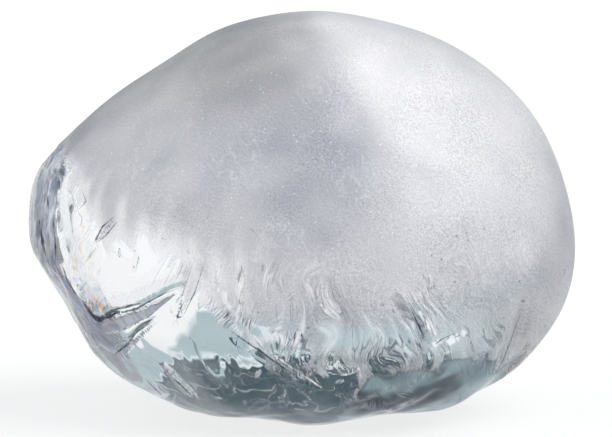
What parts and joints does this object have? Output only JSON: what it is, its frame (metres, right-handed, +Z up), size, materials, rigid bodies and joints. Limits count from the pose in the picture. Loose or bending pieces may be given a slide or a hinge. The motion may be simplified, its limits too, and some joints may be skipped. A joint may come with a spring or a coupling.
{
  "type": "hailstone",
  "caption": "Large smooth hailstone of solid ice: a lopsided pebble with a pointed end, a frosted top and a clear underside, lying on a small flat spot.",
  "frame": {"origin": "under the middle of the stone, at the height of the flat spot that it lies on", "axes": "+Z up, +X along the stone towards its blunt end, -Y towards the side with the furrows"},
  "size_m": [0.0599, 0.0492, 0.0447],
  "materials": {
    "ice": "ice: satin frost over the top, clear and wet-looking below"
  },
  "bodies": {
    "root": {"hailstone": "ice"}
  },
  "joints": []
}
